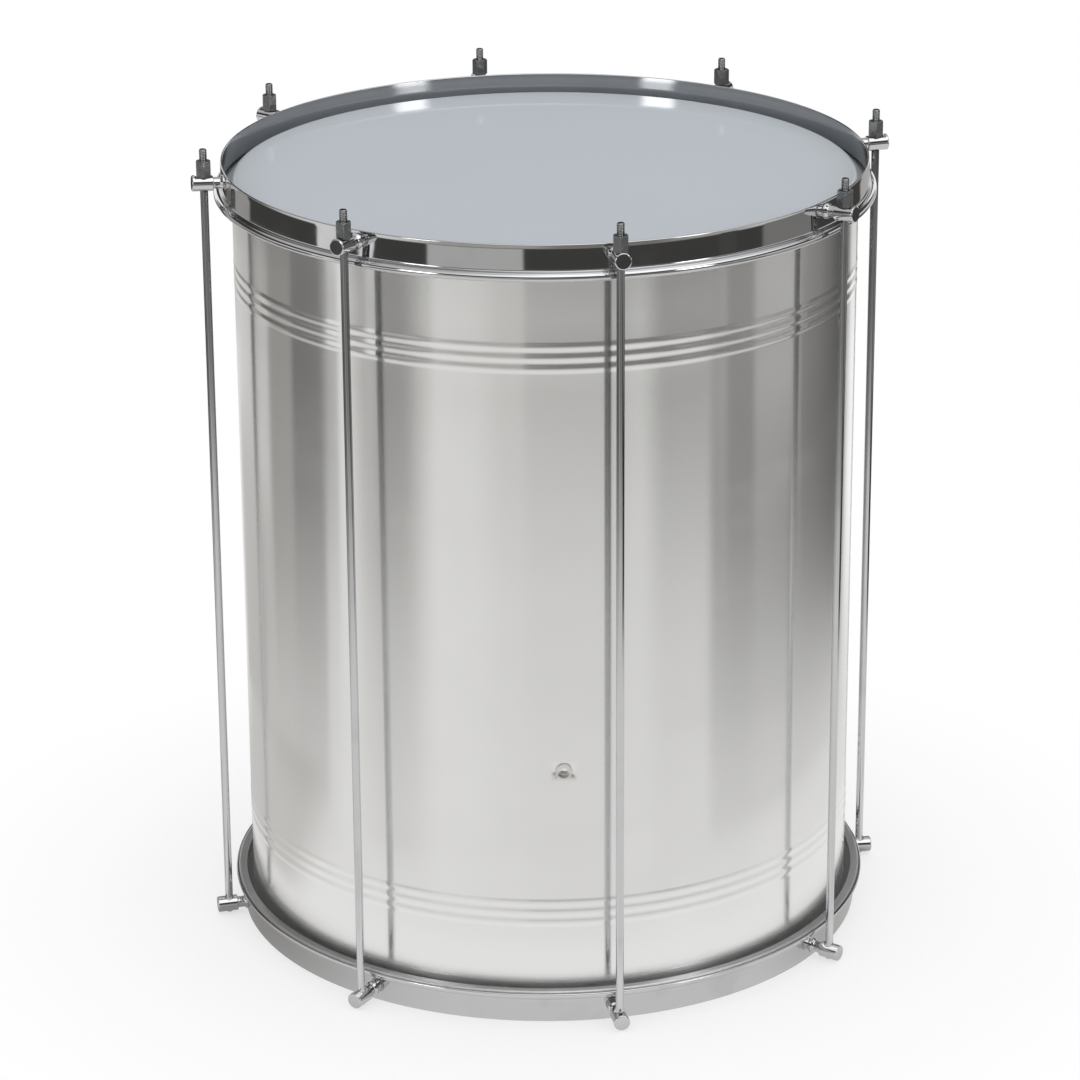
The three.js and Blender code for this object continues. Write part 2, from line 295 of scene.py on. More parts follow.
def bright_aluminium(it, finishes):
    """Drawn bar, with fine lines along it and light handling marks."""
    lines = it.noise(1, 3, (12, 12, 4000))
    marks = it.noise(60, 3)
    base = finishes.bright_aluminium
    it.set(
        Base_Color=it.mix(marks, tint(base, 0.88), tint(base, 1.06)),
        Metallic=1.0,
        Roughness=0.34 + lines * 0.1,
    )
    it.relief(lines * 0.0000015)


def chrome(it, finishes):
    """Plated steel: a hard mirror with the slight ripple of pressed sheet and a few duller smears. Painted
    shade darkens it inside the hoops, in the crease at the foot of their walls and up the rods towards their
    threads, where it is also a little rougher."""
    ripple = it.noise(34, 1)
    smears = it.between(it.noise(22, 4), 0.5, 0.75)
    # painted shade: where the mesh's share is high, the chrome darkens towards a third of its colour
    shade_and_dull = it.node("ShaderNodeAttribute", {"attribute_name": "shade_and_dull"}, output="Fac")
    base = finishes.chrome
    it.set(
        Base_Color=it.mix(shade_and_dull, it.mix(smears, tint(base, 1.02), tint(base, 0.93)), tint(base, 0.3)),
        Metallic=1.0,
        Roughness=finishes.chrome_gloss + smears * 0.05 + shade_and_dull * 0.05,
    )
    it.relief(ripple * 0.00003 + it.noise(420, 2) * 0.0000004)


def zinc(it, finishes):
    """Zinc-plated steel: a dull grey with cloudy crystals and brighter rubbed spots."""
    crystals = it.noise(900, 4)
    rubbed = it.between(it.noise(260, 3), 0.55, 0.72)
    base = finishes.zinc
    it.set(
        Base_Color=it.mix(rubbed, it.mix(crystals, tint(base, 0.75), tint(base, 1.15)), tint(base, 1.7)),
        Metallic=1.0,
        Roughness=0.28 - rubbed * 0.1 + crystals * 0.06,
    )
    it.relief(crystals * 0.00002)


def nickel(it, finishes):
    """Nickel-plated brass with tarnish in its low places."""
    tarnish = it.noise(700, 4)
    base = finishes.nickel
    it.set(
        Base_Color=it.mix(tarnish, tint(base, 0.6), tint(base, 1.2)),
        Metallic=1.0,
        Roughness=0.14 + tarnish * 0.12,
    )
    it.relief(tarnish * 0.00001)


def milky_film(it, finishes):
    """Polyester film: milky and bluish, faintly clouded, with a smooth gloss and fine specks. Painted shade
    darkens the lower head's collar, in the gap below the shell."""
    clouds = it.noise(4.5, 3)
    specks = it.noise(1500, 1)
    base = finishes.film
    unshaded_film = it.mix(clouds * 0.8 + specks * 0.2, tint(base, 0.96), tint(base, 1.04))
    # painted shade: the lower head's collar darkens to grey in the gap below the shell
    unshaded_within, gap_shaded_beyond = 248.5 * MM, 251.5 * MM
    unshaded_above, gap_shaded_below = 100 * MM, 50 * MM
    on_collar = it.between(it.from_axis(), unshaded_within, gap_shaded_beyond)
    gap_shade = on_collar * it.between(it.height(), unshaded_above, gap_shaded_below)
    it.set(
        Base_Color=it.mix(gap_shade, unshaded_film, (0.3, 0.3, 0.3, 1)),
        Roughness=0.05 + clouds * 0.04,
        IOR=1.55,
    )
    it.relief(specks * 0.000002 + clouds * 0.00002)


def floor_white(glow):
    """White floor: part of its white needs no light, and all of it does a little way off, so that only a
    soft shadow shows near the drum."""
    it = Finish("white_floor")
    mottle = it.noise(2, 2)
    it.set(
        Base_Color=it.mix(mottle, (0.985, 0.985, 0.985, 1), (1, 1, 1, 1)),
        Roughness=1.0,
        Specular_IOR_Level=0.0,
    )
    light = it.node("ShaderNodeEmission", inputs={"Color": (1, 1, 1, 1), "Strength": 1.0})
    lit_within, white_beyond = 290 * MM, 600 * MM
    away = it.between(it.from_axis(), lit_within, white_beyond)
    both = it.node("ShaderNodeMixShader", inputs={0: glow + (1 - glow) * away, 2: light})
    it.tree.links.new(it.shader.outputs[0], both.socket.node.inputs[1])
    it.tree.links.new(both.socket, it.tree.nodes["Material Output"].inputs["Surface"])
    return it.material


def glowing():
    """Light of the colour that each point of the mesh carries."""
    it = Finish("studio_boxes")
    tone = it.node("ShaderNodeAttribute", {"attribute_name": "tone"}, output="Color")
    light = it.node("ShaderNodeEmission", inputs={"Color": tone, "Strength": 1.0})
    it.tree.links.new(light.socket, it.tree.nodes["Material Output"].inputs["Surface"])
    it.material.cycles.emission_sampling = "NONE"
    return it.material


FINISHES = {
    "polished_aluminium": polished_aluminium,
    "bright_aluminium": bright_aluminium,
    "chrome_plate": chrome,
    "zinc_plate": zinc,
    "nickel_plate": nickel,
    "milky_film": milky_film,
}


def finish(context, slot):
    """The material for one of the record's slots, made the first time that it is asked for."""
    name = f"{slot}_finish"
    if name not in bpy.data.materials:
        FINISHES[slot](Finish(name), context.scene.drum_finishes)
    return bpy.data.materials[name]


def linked(name, points, faces):
    """A mesh object in the scene, from an array of points and a list of faces."""
    mesh = bpy.data.meshes.new(name)
    mesh.from_pydata(points.reshape(-1, 3).tolist(), [], faces)
    obj = bpy.data.objects.new(name, mesh)
    bpy.context.scene.collection.objects.link(obj)
    return obj


def put(name, points, faces, shade_and_dull=None):
    """A mesh object from an array of points and a list of arrays of faces, its faces turned outwards.
    The last argument tells for each point, from 0 to 1, how far painted shade darkens its plating and how
    much rougher it is.

    The volume inside is a sixth of the sum of a . (b x c) over the triangles, and it is negative where the
    faces point inwards."""
    volume = 0.0
    for block in faces:
        for k in range(1, block.shape[1] - 1):
            a, b, c = points[block[:, 0]], points[block[:, k]], points[block[:, k + 1]]
            volume += np.einsum("ij,ij->", a, np.cross(b, c))
    if volume < 0:
        faces = [block[:, ::-1] for block in faces]
    obj = linked(name, points, [face for block in faces for face in block.tolist()])
    # painted shade: the share is stored on the mesh for the chrome to darken by
    if shade_and_dull is not None:
        values = shade_and_dull.reshape(-1).astype(np.float32)
        obj.data.attributes.new("shade_and_dull", "FLOAT", "POINT").data.foreach_set("value", values)
    return close_poles(obj)


def close_poles(obj):
    """Joins the points that meet at a pole, and shades the piece smooth but for its real edges."""
    shape = bmesh.new()
    shape.from_mesh(obj.data)
    bmesh.ops.remove_doubles(shape, verts=shape.verts, dist=SAME_PLACE)
    bmesh.ops.dissolve_degenerate(shape, edges=shape.edges, dist=1e-8)
    shape.to_mesh(obj.data)
    shape.free()
    obj.data.shade_smooth()
    obj.data.set_sharp_from_angle(angle=SHARP_BEND)
    return obj


def agree(obj):
    """Makes the faces of a closed piece agree, pointing outwards."""
    shape = bmesh.new()
    shape.from_mesh(obj.data)
    bmesh.ops.recalc_face_normals(shape, faces=shape.faces)
    shape.to_mesh(obj.data)
    shape.free()


def dress(context, obj, slot, body, *nodes):
    """Gives a piece its finish and its body, and lets it stand for nodes of the frame."""
    obj.data.materials.append(finish(context, slot))
    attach(obj, body)
    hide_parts(*nodes)


def arc(centre, radius, start, end, step=math.radians(9)):
    """Points of an arc: the centre plus the radius times (cos a, sin a), for a from start to end."""
    count = max(2, math.ceil(abs(end - start) / step) + 1)
    a = np.linspace(start, end, count)
    return np.column_stack([centre[0] + radius * np.cos(a), centre[1] + radius * np.sin(a)])


def rounded(corners, radii, closed=True, hug=0.12 * MM):
    """A path through corners, each rounded by its radius.

    The arc at a corner touches both sides at radius * tan(turn / 2) from it. One more point a little past
    each end of the arc keeps the straight runs flat when the piece is shaded smooth. Where two arcs meet
    with no straight run between them, these points are left out."""
    corners = np.asarray(corners, dtype=float)
    parts = []
    for i, (corner, radius) in enumerate(zip(corners, radii)):
        if radius == 0 or (not closed and i in (0, len(corners) - 1)):
            parts.append(corner[None])
            continue
        back = corners[i - 1] - corner
        ahead = corners[(i + 1) % len(corners)] - corner
        back, ahead = back / np.linalg.norm(back), ahead / np.linalg.norm(ahead)
        bend = math.pi - math.acos(np.clip(back @ ahead, -1, 1))
        reach = radius * math.tan(bend / 2)
        middle = corner + (back + ahead) / np.linalg.norm(back + ahead) * radius / math.cos(bend / 2)
        first = corner + back * reach - middle
        start = math.atan2(first[1], first[0])
        side = math.copysign(1, ahead[0] * back[1] - ahead[1] * back[0])
        parts += [
            (corner + back * (reach + hug))[None],
            arc(middle, radius, start, start + side * bend),
            (corner + ahead * (reach + hug))[None],
        ]
    path = np.vstack(parts)
    steps = np.diff(path, axis=0)
    turns_back = np.sum(steps[1:] * steps[:-1], axis=1) < -1e-10
    path = path[np.concatenate([[True], ~turns_back, [True]])]
    apart = np.linalg.norm(np.diff(path, axis=0), axis=1) > SAME_PLACE
    return path[np.append(True, apart)]


def sheet(line, thickness):
    """Outline of bent sheet: its middle line moved half the thickness to each side, with half-round edges."""
    along = np.gradient(line, axis=0)
    along /= np.linalg.norm(along, axis=1)[:, None]
    side = np.column_stack([along[:, 1], -along[:, 0]]) * thickness / 2
    half_turn = np.linspace(0, math.pi, EDGE_POINTS + 2)[1:-1, None]
    end = line[-1] + side[-1] * np.cos(half_turn) + along[-1] * thickness / 2 * np.sin(half_turn)
    start = line[0] - side[0] * np.cos(half_turn) - along[0] * thickness / 2 * np.sin(half_turn)
    return np.vstack([line + side, end, (line - side)[::-1], start])


def divided(line, count):
    """A line with that many more points, evenly apart, between its first two."""
    shares = np.linspace(0, 1, count + 2)[1:-1, None]
    return np.vstack([line[:1], line[:1] + (line[1] - line[0]) * shares, line[1:]])


def grid_faces(rows, columns, closed_rows, skip=None):
    """Four-cornered faces of a grid whose columns close on themselves, and its rows too if asked."""
    last = rows if closed_rows else rows - 1
    i, j = np.meshgrid(np.arange(last), np.arange(columns), indexing="ij")
    if skip is not None:
        kept = ~skip(i, j)
        i, j = i[kept], j[kept]
    i, j = i.ravel(), j.ravel()
    below, beside = (i + 1) % rows, (j + 1) % columns
    this_row, next_row = i * columns, below * columns
    return np.column_stack([this_row + j, this_row + beside, next_row + beside, next_row + j])


def around(radius, height, angle):
    """Points at a radius, an angle from +X and a height: (r cos a, r sin a, z)."""
    place = (radius * np.cos(angle), radius * np.sin(angle), height)
    return np.stack(np.broadcast_arrays(*place), axis=-1)


def full_turn(count, start=0.0):
    """Equal angles around a full turn."""
    return start + np.arange(count) * 2 * math.pi / count


def turned(name, outline, closed=True):
    """A piece turned about the drum's axis: each point (r, z) of the outline goes round at its radius."""
    points = around(outline[:, :1], outline[:, 1:], full_turn(COLUMNS)[None])
    return put(name, points.reshape(-1, 3), [grid_faces(len(outline), COLUMNS, closed)])


def soft_step(value):
    """Goes from 0 to 1 as the value does, level at both ends: 3 v^2 - 2 v^3."""
    value = np.clip(value, 0, 1)
    return value * value * (3 - 2 * value)


def at_end(outline, rim_to_rim, is_top):
    """Takes an outline whose heights are depths below a rim to the upper or the lower end."""
    depth = outline[:, 1]
    return np.column_stack([outline[:, 0], rim_to_rim - depth if is_top else depth])


def station_angle(station):
    """Angle from +X of a lug's station. Station 1 is at the front, and they go round towards +X."""
    return math.radians(-90 + 45 * (station - 1))


def station_place(station, radius):
    """The point on the floor at a radius, in line with a lug's station."""
    angle = station_angle(station)
    return radius * np.array([math.cos(angle), math.sin(angle), 0])


def point_outwards(local, angle, height):
    """Takes points (sideways, up, out) to a place at that angle and height on the drum."""
    side, up, out = np.moveaxis(local, -1, 0)
    x = out * math.cos(angle) - side * math.sin(angle)
    y = out * math.sin(angle) + side * math.cos(angle)
    return np.stack([x, y, up + height], axis=-1)


class DRUM_OT_shell(bpy.types.Operator):
    """Rolled shell with curled edges, two groups of ridges and a hole for the vent"""

    bl_idname = "drum.shell"
    bl_label = "Shell"

    def execute(self, context):
        """The middle line goes round the lower curl, up the wall and round the upper curl. On the wall its
        radius is the wall's plus, in each ridge group, height * sin^2(pi * distance / pitch)."""
        s = context.scene.drum_sizes
        line_r = s.shell_r - s.shell_wall / 2
        roll_r = s.curl_r - s.shell_wall / 2
        low, high = s.shell_depth, s.rim_to_rim - s.shell_depth
        half = s.bead_count * s.bead_pitch / 2
        group = np.linspace(-half, half, s.bead_count * 16 + 1)
        margin = 9 * MM
        cell = margin / 2
        after_curl, nearest, slack = 0.2 * MM, 0.05 * MM, 0.02 * MM
        first_row, last_row, row_step = low + 25 * MM, high - 20 * MM, 30 * MM
        plain = np.arange(first_row, last_row, row_step)
        z = np.unique(np.concatenate([
            [low + s.curl_r + after_curl, high - s.curl_r - after_curl],
            s.bead_depth + group,
            s.rim_to_rim - s.bead_depth + group,
            s.vent_height + cell * np.arange(-2, 3),
            plain[abs(plain - s.vent_height) > margin],
        ]))
        z = z[np.append(True, np.diff(z) > nearest)]
        bulge = np.zeros_like(z)
        for middle in (s.bead_depth, s.rim_to_rim - s.bead_depth):
            away = z - middle
            ridges = s.bead_height * np.sin(np.pi * (away + half) / s.bead_pitch) ** 2
            bulge += np.where(abs(away) < half, ridges, 0)
        line = np.vstack([
            arc((line_r - roll_r, low + s.curl_r), roll_r, -math.pi, 0),
            np.column_stack([line_r + bulge, z]),
            arc((line_r - roll_r, high - s.curl_r), roll_r, 0, math.pi),
        ])
        outline = sheet(line, s.shell_wall)
        points = around(outline[:, :1], outline[:, 1:], full_turn(COLUMNS, s.vent_angle)[None]).reshape(-1, 3)

        near_vent = abs(outline[:, 1] - s.vent_height) < margin + slack
        wall_radii = (s.shell_r, s.shell_r - s.shell_wall)
        walls = [np.flatnonzero((abs(outline[:, 0] - radius) < slack) & near_vent) for radius in wall_radii]

        def in_patch(i, j):
            inside = np.zeros(i.shape, dtype=bool)
            for row in walls:
                inside |= (i >= row.min()) & (i < row.max()) & ((j < 2) | (j >= COLUMNS - 2))
            return inside

        faces = [grid_faces(len(outline), COLUMNS, True, in_patch)]
        steps = np.array([(c, r) for r, c in (
            [(0, c) for c in range(-2, 2)] + [(r, 2) for r in range(4)]
            + [(4, c) for c in range(2, -2, -1)] + [(r, -2) for r in range(4, 0, -1)]
        )])
        order = np.roll(np.arange(len(steps)), -1)
        rings = []
        for row, radius in zip(walls, wall_radii):
            edge = row[steps[:, 1]] * COLUMNS + steps[:, 0] % COLUMNS
            across = steps[:, 0] * 2 * math.pi / COLUMNS * radius
            up = outline[row[steps[:, 1]], 1] - s.vent_height
            bearing = np.arctan2(up, across)
            ring = around(
                radius, s.vent_height + s.vent_hole_r * np.sin(bearing),
                s.vent_angle + s.vent_hole_r * np.cos(bearing) / radius,
            )
            inner = len(points) + np.arange(len(edge))
            points = np.vstack([points, ring])
            faces.append(np.column_stack([edge, edge[order], inner[order], inner]))
            rings.append(inner)
        faces.append(np.column_stack([rings[0], rings[0][order], rings[1][order], rings[1]]))
        shell = put("polished_shell", points, faces)
        agree(shell)
        dress(context, shell, "polished_aluminium", "drum", "shell")
        return {"FINISHED"}


def spun_outwards(name, outline, angle, height, columns, shape=None):
    """A piece turned about a line that points out from the axis: each point (r, d) of the outline goes round
    the line at r, d away from the axis. shape may move the local points (sideways, up, out)."""
    a = full_turn(columns)[None]
    r, d = outline[:, :1], outline[:, 1:]
    local = np.stack(np.broadcast_arrays(r * np.sin(a), r * np.cos(a), d), axis=-1)
    if shape is not None:
        local = shape(local)
    points = point_outwards(local.reshape(-1, 3), angle, height)
    return put(name, points, [grid_faces(len(outline), columns, outline[0, 0] > 0)])


class DRUM_OT_vent_eyelet(bpy.types.Operator):
    """Eyelet in the vent: dished flange, barrel and clinched flange"""

    bl_idname = "drum.vent_eyelet"
    bl_label = "Vent eyelet"

    def execute(self, context):
        s = context.scene.drum_sizes
        bore, barrel, flange = 2.8 * MM, 4 * MM, 6.7 * MM
        seat, inside = s.shell_r + 0.05 * MM, s.shell_r - s.shell_wall - 0.3 * MM
        corners = [
            (bore, inside - 0.8 * MM), (barrel + 1.6 * MM, inside - 0.8 * MM), (barrel + 1.6 * MM, inside),
            (barrel, inside), (barrel, seat), (flange, seat), (flange, seat + MM),
            (barrel + 1.3 * MM, seat + MM), (bore, seat + 0.4 * MM),
        ]
        radii = np.array([0.3, 0.3, 0.3, 0.1, 0.1, 0.05, 0.4, 0.6, 0.3]) * MM
        outline = rounded(corners, radii, hug=0.02 * MM)
        eyelet = spun_outwards("dished_eyelet", outline, s.vent_angle, s.vent_height, 48)
        dress(context, eyelet, "nickel_plate", "drum", "vent_eyelet")
        return {"FINISHED"}


class DRUM_OT_hoops(bpy.types.Operator):
    """Flanged hoops, the lower one upside down"""

    bl_idname = "drum.hoops"
    bl_label = "Hoops"

    def execute(self, context):
        """The sheet's middle line is straight from the rim to the shoulder, out over it and down to the lip.
        Around each lug the wall is drawn in by depth * exp(-(distance / reach)^2). Painted shade darkens the
        plating inside the hoop and in the crease at the foot of its wall, where it is also a little rougher."""
        s = context.scene.drum_sizes
        columns = 360
        dent_foot, dent_fade = 12 * MM, 6 * MM
        # painted shade inside the hoop and in the crease at the foot of its wall
        shade_inside, shade_in_crease = 0.62, 0.7
        crease_from, crease_to = s.hoop_wall_r + MM, s.hoop_wall_r + s.hoop_inner_bend + 0.1 * MM
        line = rounded(
            [(s.hoop_wall_r - s.hoop_draft, s.hoop_sheet / 2), (s.hoop_wall_r, s.hoop_shoulder),
             (s.hoop_lip_r, s.hoop_shoulder), (s.hoop_lip_r, s.hoop_height - s.hoop_sheet / 2)],
            [0, s.hoop_inner_bend, s.hoop_outer_bend, 0], closed=False,
        )
        line = divided(line, 4)
        for end, body, _ in ENDS:
            outline = at_end(sheet(line, s.hoop_sheet), s.rim_to_rim, end == "top")
            angle = full_turn(columns)[None]
            off = np.mod(angle - station_angle(1) + math.pi / 8, math.pi / 4) - math.pi / 8
            depth = abs(outline[:, 1:] - (s.rim_to_rim if end == "top" else 0))
            in_wall = np.clip(1 - (depth - dent_foot) / dent_fade, 0, 1)
            dent = s.dent_depth * np.exp(-((off * s.hoop_wall_r / s.dent_reach) ** 2)) * in_wall
            points = around(outline[:, :1] - dent, outline[:, 1:], angle).reshape(-1, 3)
            inside = np.arange(len(outline)) - len(line) - EDGE_POINTS
            shade_and_dull = np.where((inside >= 0) & (inside < len(line)), shade_inside, 0)
            crease = (outline[:, 0] > crease_from) & (outline[:, 0] < crease_to)
            crease &= depth[:, 0] < s.hoop_shoulder
            shade_and_dull = np.repeat(np.where(crease, shade_in_crease, shade_and_dull), columns)
            faces = [grid_faces(len(outline), columns, True)]
            hoop = put(f"{end}_flanged_hoop", points, faces, shade_and_dull)
            dress(context, hoop, "chrome_plate", body, f"{end}_hoop")
        return {"FINISHED"}


class DRUM_OT_flesh_hoops(bpy.types.Operator):
    """Flesh hoops: rings with a slot that grips the film"""

    bl_idname = "drum.flesh_hoops"
    bl_label = "Flesh hoops"

    def execute(self, context):
        s = context.scene.drum_sizes
        low, high = s.flesh_depth, s.flesh_depth + s.flesh_height
        slot_in, slot_out = s.flesh_slot_r - s.flesh_slot_half, s.flesh_slot_r + s.flesh_slot_half
        slot_end = low + s.flesh_slot_depth
        corners = [
            (s.flesh_inner_r, low), (slot_in, low), (slot_in, slot_end), (slot_out, slot_end),
            (slot_out, low), (s.flesh_outer_r, low), (s.flesh_outer_r, high), (s.flesh_inner_r, high),
        ]
        outline = rounded(corners, np.array([0.4, 0.2, 0, 0, 0.2, 1.6, 1.6, 0.9]) * MM)
        for end, _, head in ENDS:
            ring = turned(f"{head}_slotted_ring", at_end(outline, s.rim_to_rim, end == "top"))
            dress(context, ring, "bright_aluminium", "drum", f"{head}_flesh_hoop")
        return {"FINISHED"}


class DRUM_OT_heads(bpy.types.Operator):
    """Heads of milky film, bent over the shell's edge and tucked into the flesh hoops"""

    bl_idname = "drum.heads"
    bl_label = "Heads"

    def execute(self, context):
        s = context.scene.drum_sizes
        above_slot, above_slot_end, slot_bend = 0.3 * MM, 0.5 * MM, 1.2 * MM
        mouth = (s.flesh_slot_r, s.flesh_depth - above_slot)
        tucked = (s.flesh_slot_r, s.flesh_depth + s.flesh_slot_depth - above_slot_end)
        line = rounded(
            [(0, s.film_depth), (s.film_corner_r, s.film_depth), mouth, tucked],
            [0, s.film_bend, slot_bend, 0], closed=False,
        )
        line = divided(line, 12)
        half = s.film_sheet / 2
        for end, _, head in ENDS:
            outline = sheet(line, s.film_sheet)[: 2 * len(line) + EDGE_POINTS]
            outline[0] = (0, s.film_depth - half)
            outline[-1] = (0, s.film_depth + half)
            film = turned(f"{head}_milky_film", at_end(outline, s.rim_to_rim, end == "top"), closed=False)
            dress(context, film, "milky_film", "drum", f"{head}_head")
        return {"FINISHED"}


class DRUM_OT_lugs(bpy.types.Operator):
    """Round cross-drilled lugs on the hoops, with a flat for the nut on the upper ones"""

    bl_idname = "drum.lugs"
    bl_label = "Lugs"

    def execute(self, context):
        """A lug is a solid of revolution about a line that points outwards. Its upper side is cut level at
        the flat, and round the rod it is countersunk by a depth that fades out over sink_reach."""
        s = context.scene.drum_sizes
        collar_r = s.lug_neck_r + 1.6 * MM
        collar_end, neck_start = s.lug_root + 0.8 * MM, s.lug_root + 2.6 * MM
        sink_reach, sink_depth, hole_side, step_width = 0.9 * MM, 1.1 * MM, 3 * MM, 0.02 * MM
        outline = rounded(
            [(0, s.lug_root), (collar_r, s.lug_root), (collar_r, collar_end), (s.lug_neck_r, neck_start),
             (s.lug_neck_r, s.lug_head), (s.lug_r, s.lug_head), (s.lug_r, s.lug_end), (0, s.lug_end)],
            np.array([0, 0, 0.4, 2, 0.5, 0.5, 0.9, 0]) * MM, closed=False,
        )
        straight = np.argmax(np.diff(outline[:, 1]))
        fine = np.linspace(outline[straight, 1], outline[straight + 1, 1], 64)[1:-1]
        step = s.rod_circle_r + s.lug_flat_reach
        fine = np.sort(np.append(fine, [step - step_width, step + step_width]))
        side_points = np.column_stack([np.full(len(fine), s.lug_r), fine])
        outline = np.vstack([outline[: straight + 1], side_points, outline[straight + 1:]])
        for end, body, _ in ENDS:
            def cut(local, is_top=end == "top"):
                lean = s.lug_tilt if is_top else -s.lug_tilt
                side, up, out = local[..., 0], local[..., 1], local[..., 2] - s.lug_root
                up, out = up + out * math.sin(lean), s.lug_root + out - up * math.sin(lean)
                if is_top:
                    level = (abs(out - s.rod_circle_r) < s.lug_flat_reach) & (up > s.lug_flat)
                    up = np.where(level, s.lug_flat, up)
                from_rod = np.hypot(side, out - s.rod_circle_r)
                sink = sink_depth * np.clip((s.lug_hole_r + sink_reach - from_rod) / sink_reach, 0, 1)
                up = up - np.sign(up) * np.where(abs(up) > hole_side, sink, 0)
                return np.stack([side, up, out], axis=-1)

            height = s.rim_to_rim - s.lug_depth if end == "top" else s.lug_depth
            for station in STATIONS:
                name = f"{end}_drilled_lug_{station}"
                lug = spun_outwards(name, outline, station_angle(station), height, 72, cut)
                dress(context, lug, "chrome_plate", body, f"{end}_lug_{station}")
        return {"FINISHED"}


class DRUM_OT_rods(bpy.types.Operator):
    """Full-length rods, threaded at the top"""

    bl_idname = "drum.rods"
    bl_label = "Rods"

    def execute(self, context):
        """The radius at height z and angle a is the crest's less depth * |2 * part(z / pitch - a / turn) - 1|
        where the rod is threaded, and it is never more than the chamfer of the end allows."""
        s = context.scene.drum_sizes
        columns = 20
        chamfer, run_in = 0.8 * MM, 3 * MM
        # painted shade: the chrome darkens up each rod towards its thread, and is a little rougher there
        most_shade, shade_from, shade_rise = 0.8, 260 * MM, 280 * MM
        z = np.concatenate([
            s.rod_low + np.array([0, 0, 0.4, 0.8, 1]) * MM,
            np.linspace(s.rod_low + 3 * MM, s.thread_low - MM, 24),
            np.arange(s.thread_low, s.rod_high - 0.05 * MM, s.thread_pitch / 6),
            [s.rod_high, s.rod_high],
        ])[:, None]
        a = full_turn(columns)[None]
        part = np.mod(z / s.thread_pitch - a / (2 * math.pi), 1)
        starts = np.clip((z - s.thread_low) / run_in, 0, 1)
        radius = s.rod_r - s.thread_depth * starts * abs(2 * part - 1)
        end = np.minimum(z - s.rod_low, s.rod_high - z)
        radius = np.minimum(radius, s.rod_r - chamfer + end)
        radius[0], radius[-1] = 0, 0
        faces = grid_faces(len(z), columns, False)
        shade_and_dull = np.broadcast_to(most_shade * soft_step((z - shade_from) / shade_rise), radius.shape)
        points = around(radius, z, a).reshape(-1, 3)
        for station in STATIONS:
            centre = station_place(station, s.rod_circle_r)
            rod = put(f"threaded_rod_{station}", points + centre, [faces], shade_and_dull)
            dress(context, rod, "chrome_plate", "drum", f"tension_rod_{station}")
        return {"FINISHED"}


class DRUM_OT_nuts(bpy.types.Operator):
    """Tall hexagon nuts with chamfered ends"""

    bl_idname = "drum.nuts"
    bl_label = "Nuts"

    def execute(self, context):
        """The outside's radius at angle a is half the width over cos(a from the nearest flat), cut back to
        the corner's rounding and, near the ends, to a cone of 30 degrees."""
        s = context.scene.drum_sizes
        columns = 96
        face_share, corner_share, bevel, edge = 0.96, 0.985, 0.5 * MM, 0.1 * MM
        low, high = s.nut_low, s.nut_high
        flat = s.nut_flats / 2
        corner = flat / math.cos(math.pi / 6)
        face_r = flat * face_share
        drop = (corner - face_r) * math.tan(math.radians(30))
        cone = np.linspace(0, 1, 7)
        limit = face_r + (corner - face_r) * cone
        outline = np.vstack([
            [(s.nut_bore_r + bevel, low)],
            np.column_stack([limit, low + drop * cone]),
            [(corner, low + drop + edge), (corner, high - drop - edge)],
            np.column_stack([limit, high - drop * cone])[::-1],
            [(s.nut_bore_r + bevel, high), (s.nut_bore_r, high - bevel), (s.nut_bore_r, low + bevel)],
        ])
        outside = outline[:, :1] > s.nut_bore_r + 1.2 * bevel
        a = full_turn(columns)[None]
        hexagon = flat / np.cos(np.mod(a + math.pi / 6, math.pi / 3) - math.pi / 6)
        hexagon = np.minimum(hexagon, corner * corner_share)
        radius = np.where(outside, np.minimum(outline[:, :1], hexagon), outline[:, :1])
        faces = [grid_faces(len(outline), columns, True)]
        turns = np.random.default_rng(8).uniform(-30, 30, len(STATIONS))
        for station, offset in zip(STATIONS, turns):
            points = around(radius, outline[:, 1:], a + math.radians(offset)).reshape(-1, 3)
            centre = station_place(station, s.rod_circle_r)
            nut = put(f"hexagon_nut_{station}", points + centre, faces)
            dress(context, nut, "zinc_plate", f"tuning_nut_{station}", f"tuning_nut_{station}")
        return {"FINISHED"}


# What the metal mirrors is this bright, as a share of white, where no box covers it
OPEN_LEVEL = 0.77
